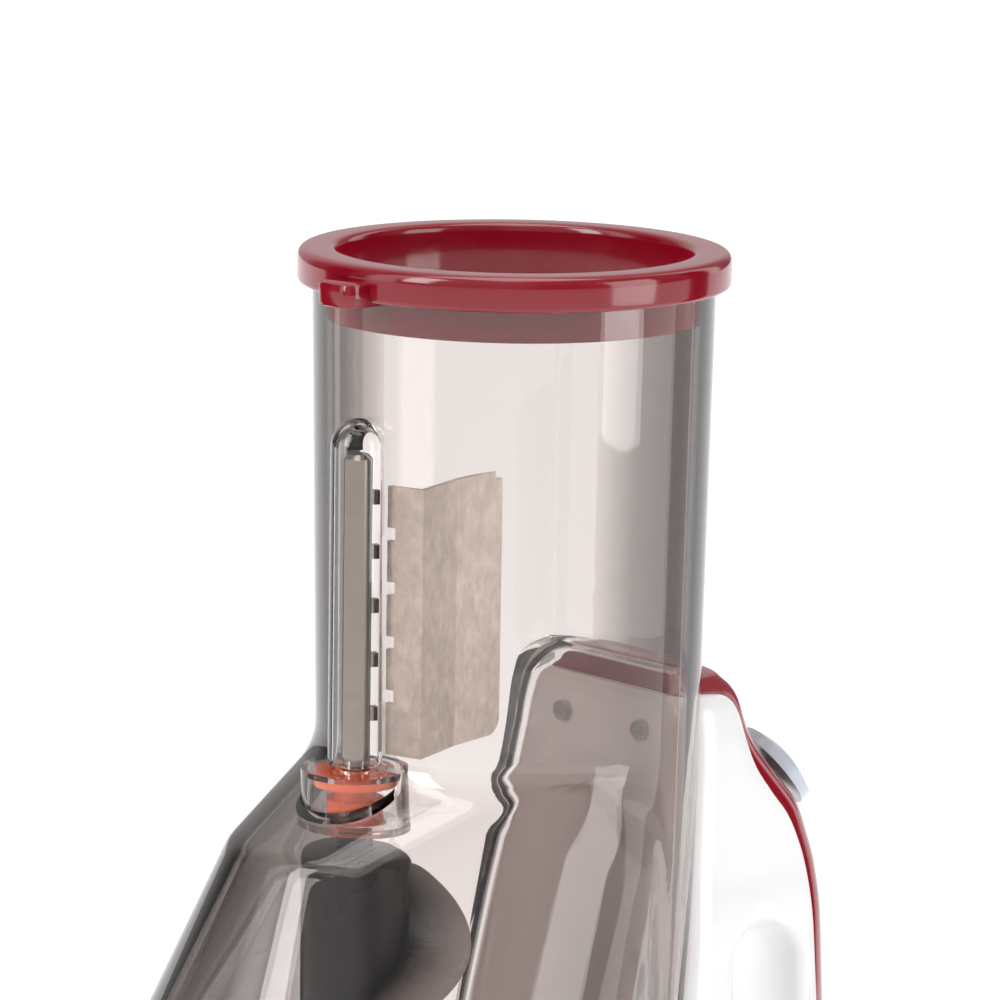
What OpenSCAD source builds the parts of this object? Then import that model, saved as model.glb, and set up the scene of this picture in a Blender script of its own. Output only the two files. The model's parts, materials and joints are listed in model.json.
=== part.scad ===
// Vertical wide-mouth slow juicer: motor base with a rear tower, juicing bowl with
// strainer, brush and auger, and a smoke chute lid with a toothed cutter shaft.
// Millimetres, +Z up, table at z = 0. Pieces are drawn about the auger axis and
// place() moves that axis forward so that the footprint is centred on the origin.

/* [Base] */
// Radius of the base round the auger axis
base_r = 68; // [64:1:72]
// Radius of the rounded back of the base and tower
back_r = 51; // [48:1:54]
// Distance from the auger axis to the centre of the rounded back
back_y = 84; // [80:1:88]
// Height of the deck that the bowl stands on
deck_z = 128; // [124:1:132]
// Wall thickness of the moulded housings
wall = 3; // [2:0.5:3.5]
// Height of the rubber feet
foot_h = 4; // [3:1:6]

/* [Tower] */
// Height of the tower's top
tower_top = 346; // [335:1:350]
// Half width of the tower low down
tower_half_w = 42; // [40:1:44]
// Diameter of the control dial
dial_d = 22; // [18:1:26]

/* [Bowl] */
// Outer radius of the juicing bowl
bowl_r = 62; // [60:1:64]
// Height of the bowl's floor
floor_z = 149; // [147:1:151]
// Height of the bowl's rim flange, where the lid rests
rim_z = 237; // [233:1:241]
// Distance from the auger axis to the tip of each outlet
outlet_reach = 96; // [88:1:104]

/* [Lid] */
// Distance from the auger axis to the chute axis
chute_y = 47; // [46:0.5:48]
// Outer radius of the chute at its top
chute_top_r = 46.5; // [45:0.5:47]
// Outer radius of the chute at the shoulder
chute_foot_r = 44.5; // [43:0.5:45]
// Height of the collar's top, which is the height of the juicer
total_h = 450; // [445:1:455]
// Radius of the collar's opening
mouth_r = 41; // [40:0.5:41.5]
// Outer radius of the collar
collar_r = 50; // [48:0.5:52]
// Radius of the lid's rounded nose
nose_r = 30; // [28:1:32]

/* [Cutter] */
// Diameter of the cutter shaft
cutter_d = 6.5; // [6:0.5:7]
// Spacing of the cutter teeth
tooth_pitch = 12.5; // [11:0.5:14]

/* [Hidden] */
$fn = 64;
back_reach = back_y + back_r;
axis_y = -(back_reach - base_r) / 2;
plate_top = foot_h + wall;
gap = 0.3;
fit = 0.05;

foot_xy = [[-44, -34], [44, -34], [-34, 100], [34, 100]];
foot_r = 9;
foot_screw_r = 1.8;
gland_z = 16;
cover_screw_r = 1.8;
cover_screw_head = 3;
cover_screw_x = 12;
cover_screw_z = 45;
cover_seat_y = back_y + sqrt(back_r * back_r - cover_screw_x * cover_screw_x) - 0.9;

// Gear train: three vertical axes in line, module 1, 12 and 60 teeth
gear_m = 1;
small_teeth = 12;
big_teeth = 60;
gear_step = gear_m * (small_teeth + big_teeth) / 2;
motor_y = 2 * gear_step;
case_r = 35;
case_z0 = 72;
case_z1 = 108;
lug_screw_r = 1.5;
shaft_r = 8;
journal_r = 3.5;
motor_r = 29;
motor_z0 = 16;

// Bowl drive: module 2 sun on the auger, one pinion, ring gear on the brush
sun_teeth = 12;
planet_teeth = 16;
ring_teeth = 44;
bowl_gear_m = 2;
planet_x = -bowl_gear_m * (sun_teeth + planet_teeth) / 2;
gear_z = floor_z + 4.5;
gear_h = 5;
stub_r = 8.5;
hex_r = 6;

// Strainer cone
cone_z0 = 163;
cone_z1 = 229;
cone_r0 = 34;
cone_r1 = 40;
neck_r = 12.2;

spout_z = 162;
spout_r = 11;
spout_bore = 8.5;
cap_hinge_z = spout_z + 16;
duct_half = 11;

lid_wall = 3;
pocket_r = 6.4;
pocket_bore = 5.3;
pocket_top = 415;
shaft_z0 = 331;
shaft_z1 = 407;
nose_z = 320;
chute_z0 = nose_z - 12;
chute_z1 = total_h - 7;
chute_low_r = 43;
collar_band = 8;
cup_r = 12.5;
plate_z0 = 338;
plate_z1 = 400;
plate_t = 1.2;

grip_x = 32;
grip_y = 98.5;
grip_z0 = 205;
grip_z1 = 277;
grip_r = 10.5;

knob_c = [15, 117, 316.5];
knob_tilt = 52;
knob_turn = 19;
peg_x = 13.4;
peg_z = 334;
peg_r = 2.4;

module place() translate([0, axis_y, 0]) children();

module tube(r_out, r_in, z0, z1)
    translate([0, 0, z0]) difference() {
        cylinder(r = r_out, h = z1 - z0);
        translate([0, 0, -1]) cylinder(r = r_in, h = z1 - z0 + 2);
    }

module rod(r, z0, z1) translate([0, 0, z0]) cylinder(r = r, h = z1 - z0);

// Two circles joined by their common tangents
module teardrop_2d(r1, r2, d) {
    a = asin((r1 - r2) / d);
    circle(r = r1);
    translate([0, d]) circle(r = r2);
    polygon([[r1 * cos(a), r1 * sin(a)], [r2 * cos(a), d + r2 * sin(a)],
        [-r2 * cos(a), d + r2 * sin(a)], [-r1 * cos(a), r1 * sin(a)]]);
}

// Plan of the base, grown by e
module base_2d(e) teardrop_2d(base_r + e, back_r + e, back_y);

// Solid of the base from z0 up, grown by e, with a rounded top edge
module base_solid(e, z0) hull() {
    top = deck_z + e;
    translate([0, 0, z0]) linear_extrude(top - 12 - z0) base_2d(e);
    translate([0, 0, top - 6]) linear_extrude(0.5) base_2d(e - 1.8);
    translate([0, 0, top - 2]) linear_extrude(0.5) base_2d(e - 5.5);
    translate([0, 0, top - 0.5]) linear_extrude(0.5) base_2d(e - 10);
}

// One level of the tower: half width w, flat front at y_front, rounded back at y_back
module tower_slice(z, w, y_front, y_back, e) {
    r = back_r + e;
    translate([0, 0, z]) linear_extrude(0.5) intersection() {
        translate([0, y_back + e - r]) circle(r = r, $fn = 96);
        translate([-w - e, y_front - e]) square([2 * (w + e), y_back - y_front + 2 * e]);
    }
}

// Solid of the tower from z0 up, grown by e: a body and a narrow nose above its back slope
module tower_solid(e, z0 = deck_z - 2) {
    hull() {
        tower_slice(z0, tower_half_w, 67, back_reach, e);
        tower_slice(250, tower_half_w - 2, 67, back_reach, e);
        tower_slice(289, 36, 73.5, 133, e);
        tower_slice(300, 34, 75, 130.6, e);
        tower_slice(313 + e, 31, 77, 125.5, e);
        tower_slice(328 + e, 25, 80, 111, e);
    }
    hull() {
        tower_slice(300, 28, 77, 107, e);
        tower_slice(tower_top - 14 + e, 25.5, 79.5, 108, e);
        tower_slice(tower_top - 4.5 + e, 23, 81, 106, e);
        tower_slice(tower_top - 0.5 + e, 17, 85, 102, e);
    }
}

// Everything in front of and below the joint line between the white shell and the cover
module cover_line() translate([-80, 0, 0]) rotate([90, 0, 90]) linear_extrude(160)
    polygon([[-90, 0], [back_reach + 10, 0], [back_reach + 10, 24], [115, 24], [115, 289],
        [113.5, 301], [109.5, 311], [99.5, 324], [97, 331], [95.5, 339.5], [93, 342.5],
        [86, 342.8], [86, 360], [-90, 360]]);

// Screw pointing up, with its head at the bottom
module screw_up(z, r, len, head_r, head_h) translate([0, 0, z]) {
    difference() {
        cylinder(r = head_r, h = head_h);
        translate([0, 0, -0.1]) cylinder(r = head_r * 0.5, h = head_h * 0.6, $fn = 6);
    }
    cylinder(r = r, h = len);
}

// Half angle of a tooth at radius r, thinned by the play between teeth
function inv(a) = tan(a) * 180 / PI - a;
function half_tooth(r, rb, z, play) =
    90 / z - play + inv(20) - (r > rb ? inv(acos(rb / r)) : 0);
function flank(m, z, play, r_lo, r_hi, steps) = [for (i = [0 : steps])
    let (r = r_lo + (r_hi - r_lo) * i / steps) [r, half_tooth(r, m * z / 2 * cos(20), z, play)]];

// Spur gear outline with a tooth centred on angle 0
module gear_2d(m, z, play, add, ded) {
    side = flank(m, z, play, m * z / 2 - ded * m, m * z / 2 + add * m, 4);
    rev = [for (i = [len(side) - 1 : -1 : 0]) side[i]];
    polygon([for (k = [0 : z - 1]) each concat(
        [for (p = side) p[0] * [cos(k * 360 / z - p[1]), sin(k * 360 / z - p[1])]],
        [for (p = rev) p[0] * [cos(k * 360 / z + p[1]), sin(k * 360 / z + p[1])]])]);
}

module spur(m, z, z0, h, bore, play = 0.8, turn = 0)
    translate([0, 0, z0]) rotate(turn) linear_extrude(h) difference() {
        gear_2d(m, z, play * 12 / z, 0.75, 1.1);
        circle(r = bore);
    }

// The four screw lugs of the gearbox, at height z
module at_lugs(z) for (x = [-1, 1], y = [gear_step / 2, gear_step * 1.5])
    translate([x * (case_r + 1.5), y, z]) children();

// ---- base ----
module rubber_feet() color("dimgray") place() for (p = foot_xy) translate([p[0], p[1], 0])
    difference() {
        cylinder(r = foot_r, h = foot_h);
        translate([0, 0, -1]) cylinder(r = 4.2, h = 1 + foot_h - 1.5);
        translate([0, 0, -1]) cylinder(r = foot_screw_r + fit, h = foot_h + 2);
    }

module foot_screws() color("silver") place() for (p = foot_xy) translate([p[0], p[1], 0])
    screw_up(0.6, foot_screw_r, 13, 3.4, 1.9);

module bottom_plate() color("whitesmoke") place() difference() {
    translate([0, 0, foot_h]) linear_extrude(wall) base_2d(-wall - gap);
    for (p = foot_xy) translate([p[0], p[1], 0]) cylinder(r = foot_screw_r + fit, h = 20);
    for (i = [-3 : 3]) translate([i * 7 - 1.5, motor_y - 20, 0]) cube([3, 40, 20]);
}

module base_shell() color("white") place() difference() {
    union() {
        difference() {
            base_solid(0, foot_h);
            base_solid(-wall, foot_h - 1);
        }
        for (p = foot_xy) translate([p[0], p[1], plate_top])
            cylinder(r = 5, h = deck_z - wall + 1 - plate_top);
        at_lugs(case_z1 + 3.2) cylinder(r = 4, h = deck_z - wall - case_z1 - 2.2);
        rod(18, deck_z - wall - 2, deck_z + 1.2);
    }
    for (p = foot_xy) translate([p[0], p[1], 0]) cylinder(r = foot_screw_r + fit, h = 18);
    at_lugs(case_z1) cylinder(r = lug_screw_r + fit, h = 15);
    rod(14, deck_z - 10, deck_z + 10);
    translate([-80, 115, 24]) cube([160, 80, deck_z]);
    translate([-24, 70, deck_z - 10]) cube([48, 40, 20]);
    translate([0, back_reach - 8, gland_z]) rotate([-90, 0, 0]) cylinder(r = 6 + fit, h = 20);
}

// Finger recesses on the two sides of the tower, grown by e
module grip_recess(e) for (s = [-1, 1]) translate([s > 0 ? grip_x - e : -60, 0, 0])
    rotate([90, 0, 90]) linear_extrude(60 - grip_x + e) {
        translate([grip_y, grip_z1]) circle(r = grip_r + e);
        translate([grip_y - grip_r - e, grip_z0]) square([2 * (grip_r + e), grip_z1 - grip_z0]);
        translate([grip_y, grip_z0]) circle(r = grip_r + e);
    }

module tower_shell() color("white") place() difference() {
    intersection() {
        difference() {
            tower_solid(0);
            difference() {
                tower_solid(-wall);
                grip_recess(2);
            }
            translate([-24, 70, 0]) cube([48, 38, 140]);
        }
        cover_line();
        translate([-100, 0, deck_z + fit]) cube([200, 200, 300]);
    }
    for (s = [-1, 1]) translate([s * peg_x, 70, peg_z]) rotate([-90, 0, 0])
        cylinder(r = peg_r + fit, h = 20);
    grip_recess(0);
}

// The seat of each screw of the cover, with +Z running in along the screw
module at_cover_screws() for (s = [-1, 1])
    translate([s * cover_screw_x, cover_seat_y, cover_screw_z]) rotate([90, 0, 0]) children();

module back_cover() color("firebrick") place() difference() {
    tower_solid(0, 24 + fit);
    tower_solid(-2.2, 20);
    translate([0, fit, fit]) cover_line();
    translate([-100, -50, 0]) cube([200, 136, 400]);
    at_knob() cylinder(r = 5.2, h = 40, center = true);
    at_cover_screws() {
        cylinder(r = cover_screw_r + fit, h = 30, center = true);
        translate([0, 0, -5]) cylinder(r = cover_screw_head + fit, h = 5);
    }
}

module cover_screws() color("silver") place() at_cover_screws()
    screw_up(-1.45, cover_screw_r, 14, cover_screw_head, 1.4);

module cord_gland() color("dimgray") place() translate([0, back_reach - 6, gland_z])
    rotate([-90, 0, 0]) difference() {
        union() {
            cylinder(r = 6, h = 6);
            translate([0, 0, -3]) cylinder(r = 8, h = 3);
        }
        translate([0, 0, -4]) cylinder(r = 3.4, h = 20);
    }

// ---- drive ----
module motor_can() color("gray") place() translate([0, motor_y, 0]) difference() {
    rod(motor_r, motor_z0, case_z0 - gap);
    rod(journal_r - 0.5 + fit, 0, 100);
    rod(20, motor_z0 + 3, case_z0 - 4);
    for (a = [0 : 90 : 270]) rotate(a + 45) translate([22, 0, case_z0 - 12])
        cylinder(r = 1.5 + fit, h = 20);
    for (a = [0 : 30 : 330]) rotate(a) translate([23, -1.5, motor_z0 + 8]) cube([10, 3, 32]);
}

module motor_screws() color("silver") place() translate([0, motor_y, 0])
    for (a = [0 : 90 : 270]) rotate(a + 45) translate([22, 0, 0]) rotate([180, 0, 0])
        screw_up(-case_z0 - 4.6, 1.5, 12, 2.8, 1.6);

module motor_rotor() color("silver") place() translate([0, motor_y, 0]) {
    rod(journal_r - 0.5, 8, case_z0 + 18);
    rod(18, motor_z0 + 5, case_z0 - 6);
    spur(gear_m, small_teeth, case_z0 + 6, 10, 2);
}

module cooling_fan() color("dimgray") place() translate([0, motor_y, 0]) {
    tube(6, journal_r - 0.5 + fit, 9, 14);
    for (a = [0 : 40 : 320]) rotate(a) translate([5.5, -0.75, 9.5]) cube([18, 1.5, 4]);
}

module case_2d(e) teardrop_2d(case_r + e, case_r + e - 0.01, motor_y);

module gearbox_case() color("lightgray") place() difference() {
    union() {
        difference() {
            translate([0, 0, case_z0]) linear_extrude(case_z1 - case_z0) case_2d(0);
            translate([0, 0, case_z0 + 3]) linear_extrude(case_z1) case_2d(-2.5);
        }
        rod(7, case_z0 + 1, case_z0 + 5);
        translate([0, gear_step, 0]) rod(6, case_z0 + 1, case_z0 + 5);
        at_lugs(case_z0) cylinder(r = 4, h = case_z1 - case_z0);
    }
    rod(journal_r + fit, case_z0 + 2, case_z1);
    translate([0, gear_step, 0]) rod(3 + fit, case_z0 + 2, case_z1);
    translate([0, motor_y, 0]) {
        rod(7, 0, case_z1);
        for (a = [0 : 90 : 270]) rotate(a + 45) translate([22, 0, 0])
            cylinder(r = 1.5 + fit, h = case_z1 + 10);
    }
    at_lugs(case_z0 - 1) cylinder(r = lug_screw_r + fit, h = 50);
}

module gearbox_cover() color("lightgray") place() difference() {
    union() {
        translate([0, 0, case_z1 + fit]) linear_extrude(3) case_2d(0);
        at_lugs(case_z1 + fit) cylinder(r = 4, h = 3);
        rod(17, case_z1 + 1, case_z1 + 12);
    }
    rod(shaft_r + 0.5, case_z1 - 5, case_z1 + 20);
    rod(14 + fit, case_z1 + 3, case_z1 + 20);
    translate([0, gear_step, 0]) rod(3 + fit, case_z1 - 5, case_z1 + 10);
    at_lugs(case_z1 - 5) cylinder(r = lug_screw_r + fit, h = 20);
}

module gearbox_screws() color("silver") place() at_lugs(case_z0 - 1.65)
    screw_up(0, lug_screw_r, 50, 2.8, 1.6);

module reduction_wheel() color("ivory") place() translate([0, gear_step, 0])
    spur(gear_m, big_teeth, case_z0 + 6, 9, 3 + fit, 0.8, 3);

module reduction_pinion() color("silver") place() translate([0, gear_step, 0])
    spur(gear_m, small_teeth, case_z0 + 15, 12, 3 + fit);

module reduction_axle() color("silver") place() translate([0, gear_step, 0])
    rod(3, case_z0 + 2.1, case_z1 + 2.8);

module output_gear() color("ivory") place()
    spur(gear_m, big_teeth, case_z0 + 17, 9, 5 + fit, 0.8, 3);

module output_shaft() color("silver") place() {
    rod(journal_r, case_z0 + 2.2, case_z0 + 16);
    rod(5, case_z0 + 15.9, case_z0 + 27);
    rod(shaft_r, case_z0 + 27, deck_z + 4);
    translate([0, 0, deck_z + 3.9]) cylinder(r = hex_r, h = 18, $fn = 6);
}

module output_bearing() color("silver") place()
    tube(14, shaft_r + 0.03, case_z1 + 3.1, case_z1 + 11);

module deck_seal() color("dimgray") place() tube(14 - fit, shaft_r + 0.1, deck_z - 3, deck_z + 2);

module control_board() color("darkgreen") place() translate([-22, 88, 160]) {
    cube([44, 1.6, 70]);
    translate([4, -8, 8]) cube([14, 8, 12]);
    translate([24, -12, 30]) cube([16, 12, 16]);
    translate([8, -6, 50]) cube([10, 6, 10]);
}

// ---- controls ----
module at_knob() translate(knob_c) rotate([-knob_tilt, 0, -knob_turn]) children();

module selector_switch() color("dimgray") place() at_knob() difference() {
    translate([-8, -8, -26]) cube([16, 16, 14]);
    rod(2.5 + 0.06, -24, 0);
}

module selector_dial() color("lightsteelblue") place() at_knob() {
    rod(2.5, -23, 4);
    intersection() {
        rod(dial_d / 2, 3.2, 12);
        translate([0, 0, -15.5]) sphere(r = 24);
    }
}

module interlock_plungers() color("gainsboro") place() for (s = [-1, 1])
    translate([s * peg_x, 0, peg_z]) rotate([-90, 0, 0]) {
        translate([0, 0, 78.4]) cylinder(r = peg_r, h = 13.6);
        translate([0, 0, 84.4]) cylinder(r = peg_r + 1.2, h = 1.2);
    }

module interlock_switch() color("black") place()
    translate([-17, 94.7, peg_z - 6]) cube([34, 5.5, 11]);

// ---- bowl ----
module juice_bowl() color("gray", 0.6) place() difference() {
    union() {
        rod(bowl_r, deck_z + 1.5, rim_z + 3);
        tube(64, bowl_r - 1, rim_z - 3, rim_z);
        translate([0, -duct_half, deck_z + 2]) cube([outlet_reach, 2 * duct_half, floor_z - deck_z]);
        translate([0, 0, spout_z]) rotate([0, -90, 0]) cylinder(r = spout_r, h = outlet_reach - 3.5);
        for (s = [-1, 1]) translate([-outlet_reach + 4, s * 6 - 1.5, spout_z + 9]) cube([6, 3, 9.5]);
    }
    rod(bowl_r - 3, floor_z + 3, 300);
    difference() {
        rod(bowl_r - 3, 100, floor_z);
        translate([0, -duct_half, 100]) cube([200, 2 * duct_half, 60]);
    }
    rod(19, 100, floor_z - 1);
    rod(12, 100, 200);
    translate([22, 2 - duct_half, deck_z + 4]) cube([200, 2 * duct_half - 4, floor_z - deck_z - 4]);
    translate([22, -8, 140]) cube([10, 16, 30]);
    translate([-bowl_r + 10, 0, spout_z]) rotate([0, -90, 0]) cylinder(r = spout_bore, h = 100);
    translate([-outlet_reach + 5, 20, cap_hinge_z - 1.5]) rotate([90, 0, 0])
        cylinder(r = 1 + fit, h = 40);
    translate([planet_x, 0, floor_z + 1]) cylinder(r = 2.5 + fit, h = 10);
    tube(bowl_r + 3, bowl_r - 1.5, rim_z, rim_z + 5);
}

module bowl_seal() color("dimgray") place() tube(12 - fit, stub_r + 0.1, floor_z - 1, floor_z + 3.5);

module cap_pin() color("silver") place() translate([-outlet_reach + 5, 7.4, cap_hinge_z - 1.5])
    rotate([90, 0, 0]) cylinder(r = 1, h = 14.8);

module spout_cap() color("gray") place() difference() {
    union() {
        translate([-outlet_reach + 2.2, 0, spout_z]) rotate([0, -90, 0])
            cylinder(r = spout_r + 1, h = 2.2);
        translate([-outlet_reach, -4, spout_z + 8]) cube([2.2, 8, 13]);
        translate([-outlet_reach, -4, cap_hinge_z - 4]) cube([7, 8, 5]);
        translate([-outlet_reach, -5, spout_z - spout_r - 4]) cube([2.2, 10, 5]);
    }
    translate([-outlet_reach + 5, 20, cap_hinge_z - 1.5]) rotate([90, 0, 0])
        cylinder(r = 1 + fit, h = 40);
}

module cap_gasket() color("dimgray") place() translate([-outlet_reach + 3.3, 0, spout_z])
    rotate([0, -90, 0]) cylinder(r = spout_r - 0.5, h = 1.05);

module brush_pinion() color("ivory") place() translate([planet_x, 0, 0])
    spur(bowl_gear_m, planet_teeth, gear_z, gear_h, 2.5 + fit, 0.9, 360 / planet_teeth / 2);

module pinion_pin() color("silver") place() translate([planet_x, 0, 0])
    rod(2.5, floor_z + 1.1, gear_z + gear_h + 0.6);

module strainer_frame() color("dimgray") place() {
    difference() {
        union() {
            tube(46, cone_r1 - 1, cone_z1 + fit, cone_z1 + 6);
            rod(cone_r0 + 3, cone_z0 - 3, cone_z0 - fit);
            intersection() {
                difference() {
                    translate([0, 0, cone_z0 - 0.1])
                        cylinder(r1 = cone_r0 + 2.5, r2 = cone_r1 + 2.5, h = cone_z1 - cone_z0 + 0.2);
                    translate([0, 0, cone_z0 - 0.1])
                        cylinder(r1 = cone_r0 + fit, r2 = cone_r1 + fit, h = cone_z1 - cone_z0 + 0.3);
                }
                for (a = [0 : 60 : 300]) rotate(a) translate([20, -2, 150]) cube([40, 4, 100]);
            }
            translate([21, -9.5, floor_z + 3 + fit]) cube([13, 19, 9]);
        }
        rod(19.5, 100, 200);
        translate([22.5, -7.5, 100]) cube([9.5, 15, 100]);
    }
}

module strainer_mesh() color("silver") place() difference() {
    translate([0, 0, cone_z0]) cylinder(r1 = cone_r0, r2 = cone_r1, h = cone_z1 - cone_z0);
    translate([0, 0, cone_z0 - 0.01])
        cylinder(r1 = cone_r0 - 0.8, r2 = cone_r1 - 0.8, h = cone_z1 - cone_z0 + 0.02);
}

module brush_frame() color("dimgray") place() {
    translate([0, 0, gear_z]) linear_extrude(gear_h) difference() {
        circle(r = 50);
        rotate(180 / ring_teeth) gear_2d(bowl_gear_m, ring_teeth, -0.3, 1.1, 0.75);
    }
    tube(53, 49, 222, 227);
    for (a = [45 : 90 : 315]) rotate(a) translate([47, -3, gear_z + gear_h - 0.2])
        cube([3, 6, 222.5 - gear_z - gear_h]);
}

module brush_wipers() color("lightgray") place()
    for (a = [45 : 90 : 315]) rotate(a) {
        translate([50 + fit, -1, gear_z + gear_h + 3]) cube([7.5, 2, 58]);
        translate([44.2, -1, gear_z + gear_h + 3]) cube([2.75, 2, 58]);
    }

// Auger: screw in the strainer, a feed wing in the lid and a neck up to the drive bush
module auger() color("dimgray") place() difference() {
    union() {
        translate([0, 0, cone_z0 + 1]) linear_extrude(cone_z1 - cone_z0 + 8, twist = -560,
            scale = 1.14, slices = 32) {
            circle(r = 17, $fn = 16);
            translate([0, -3]) square([31.5, 6]);
        }
        translate([0, 0, cone_z0 - 3.4]) cylinder(r = 18.5, h = 6);
        translate([0, 0, cone_z1 + 8]) cylinder(r1 = 20, r2 = neck_r, h = 25);
        rod(neck_r, 260, 315);
        translate([0, 0, 268]) rotate(-87) linear_extrude(41, twist = -196, scale = 0.6,
            slices = 20) translate([0, -2.4]) square([36, 4.8]);
        translate([0, 0, 314.5]) cylinder(r = 4, h = 11, $fn = 6);
    }
    rod(7 + fit, 100, 200);
}

module auger_gear() color("ivory") place()
    spur(bowl_gear_m, sun_teeth, gear_z, gear_h, stub_r + fit, 0.9);

module auger_shaft() color("silver") place() difference() {
    union() {
        rod(stub_r, deck_z + 7, cone_z0 - 3.6);
        rod(7, cone_z0 - 3.7, 198);
    }
    translate([0, 0, deck_z]) cylinder(r = hex_r + 0.3, h = 24, $fn = 6);
}

// ---- lid ----
// Outer form of the lid below the chute, shrunk by e
module lid_form(e) hull() {
    rod(64 - e, rim_z - (e > 0 ? 1 : 0), rim_z + 4);
    rod(nose_r - e - 5, nose_z - 9, nose_z - e);
    rod(nose_r - e - 1.5, nose_z - 9, nose_z - e - 2.2);
    rod(nose_r - e, nose_z - 9, nose_z - e - 6);
    translate([0, chute_y, 0]) rod(chute_foot_r - e - 0.6, chute_z0, nose_z - e + 14);
}

// Chute tube, shrunk by e: it runs on down inside the lid, in front of the tower
module chute_form(e) translate([0, chute_y, 0]) {
    translate([0, 0, chute_z0]) cylinder(r1 = chute_foot_r - e, r2 = chute_top_r - e,
        h = chute_z1 - chute_z0 + (e > 0 ? 0.01 : 0));
    translate([0, 0, rim_z + 9 + e]) cylinder(r1 = chute_low_r - e, r2 = chute_foot_r - e,
        h = chute_z0 - rim_z - 9 - e);
}

module chute_lid() color("gray", 0.5) place() difference() {
    union() {
        lid_form(0);
        chute_form(0);
        rod(pocket_r, nose_z - 6, pocket_top - pocket_r);
        translate([0, 0, pocket_top - pocket_r]) sphere(r = pocket_r);
    }
    difference() {
        union() {
            lid_form(lid_wall);
            chute_form(lid_wall);
        }
        tower_solid(1.5 + lid_wall);
    }
    tower_solid(1.5);
    rod(pocket_bore, nose_z + 15, pocket_top - pocket_r);
    translate([0, 0, pocket_top - pocket_r]) sphere(r = pocket_bore - 0.3);
    translate([-4.4, 0, nose_z + 16]) cube([8.8, 8, pocket_top - nose_z - 24]);
    rod(8, nose_z - 20, nose_z + 15.5);
    rod(cup_r + fit, nose_z - 0.5, nose_z + 14.5);
    rod(bowl_r - 1.2, rim_z - 2, rim_z + 3.4);
}

module lid_gasket() color("gainsboro") place() tube(bowl_r - 1.7, bowl_r - 5, rim_z + 3.1, rim_z + 4.9);

module bush_cup() color("lightgray", 0.5) place() difference() {
    rod(cup_r, nose_z - 0.4, nose_z + 14.4);
    rod(11, nose_z + 1, nose_z + 13);
    rod(7.2, nose_z - 2, nose_z + 2);
    rod(5, nose_z, nose_z + 20);
}

module drive_bush() color("orangered") place() difference() {
    union() {
        rod(6.6, nose_z - 0.2, nose_z + 7.5);
        rod(4.9, nose_z + 7, nose_z + 14);
    }
    rod(cutter_d / 2 + fit, nose_z + 11, nose_z + 20);
    translate([0, 0, nose_z - 1]) cylinder(r = 4.3, h = 8.2, $fn = 6);
}

module bush_ring() color("orangered") place() tube(9.5, 5.2, nose_z + 13 - 2.2, nose_z + 13 - fit);

module cutter_shaft() color("silver") place() {
    rod(cutter_d / 2, shaft_z0 + 0.2, shaft_z1 - 1);
    translate([0, 0, shaft_z1 - 1]) cylinder(r1 = cutter_d / 2, r2 = cutter_d / 2 - 1, h = 1);
    for (i = [0 : 4]) translate([0, 0, 347 + i * tooth_pitch]) rotate(60) intersection() {
        translate([0, -1, -1.6]) cube([8, 2, 3.2]);
        cylinder(r = 5, h = 10, center = true);
    }
}

// Bent steel plate in plan: along the chute wall beside the pocket, then inward
module plate_2d() polygon([[5.6, 5], [14.7, 7.3], [9.2, 22.2], [6, 38.8], [4.8, 38.6],
    [7.9, 21.9], [12.9, 8.4], [5.3, 6.3]]);

module comb_plate() color("silver") place() difference() {
    translate([0, 0, plate_z0]) linear_extrude(plate_z1 - plate_z0) plate_2d();
    translate([-5, 20, plate_z1 - 2]) cube([11.5, 30, 5]);
    translate([0, 38.8, plate_z0]) rotate([0, 90, 0]) difference() {
        translate([-4, -4, 0]) cube([8, 8, 20]);
        translate([-4, -4, -1]) cylinder(r = 4, h = 22);
    }
    for (i = [0 : 3]) translate([5, 4, 350 + i * tooth_pitch]) cube([2.6, 6, 3]);
}

module collar_ring() color("firebrick") place() translate([0, chute_y, 0]) difference() {
    union() {
        rod(collar_r, total_h - collar_band, total_h - 1.5);
        translate([0, 0, total_h - 1.5]) cylinder(r1 = collar_r, r2 = collar_r - 1.5, h = 1.5);
        rod(chute_top_r - lid_wall - 0.4, total_h - 15.6, total_h - collar_band + 1);
        translate([0, -chute_top_r - 4, 0]) rod(6, total_h - collar_band, total_h - 3);
    }
    rod(mouth_r, total_h - 30, total_h + 10);
    difference() {
        rod(chute_top_r + 0.3, total_h - collar_band - 1, total_h - collar_band + 1.4);
        rod(chute_top_r - lid_wall - 0.4, total_h - 20, total_h);
    }
}

rubber_feet();
foot_screws();
bottom_plate();
base_shell();
tower_shell();
back_cover();
cover_screws();
cord_gland();
motor_can();
motor_screws();
motor_rotor();
cooling_fan();
gearbox_case();
gearbox_cover();
gearbox_screws();
reduction_wheel();
reduction_pinion();
reduction_axle();
output_gear();
output_shaft();
output_bearing();
deck_seal();
control_board();
selector_switch();
selector_dial();
interlock_switch();
interlock_plungers();
juice_bowl();
bowl_seal();
spout_cap();
cap_gasket();
cap_pin();
brush_pinion();
pinion_pin();
strainer_frame();
strainer_mesh();
brush_frame();
brush_wipers();
auger();
auger_gear();
auger_shaft();
chute_lid();
lid_gasket();
bush_cup();
drive_bush();
bush_ring();
cutter_shaft();
comb_plate();
collar_ring();
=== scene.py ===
"""Vertical slow juicer: camera, studio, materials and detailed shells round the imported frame."""
import json
import math

import bmesh
import bpy
import numpy as np
from mathutils import Matrix, Vector
from mathutils.bvhtree import BVHTree


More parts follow.
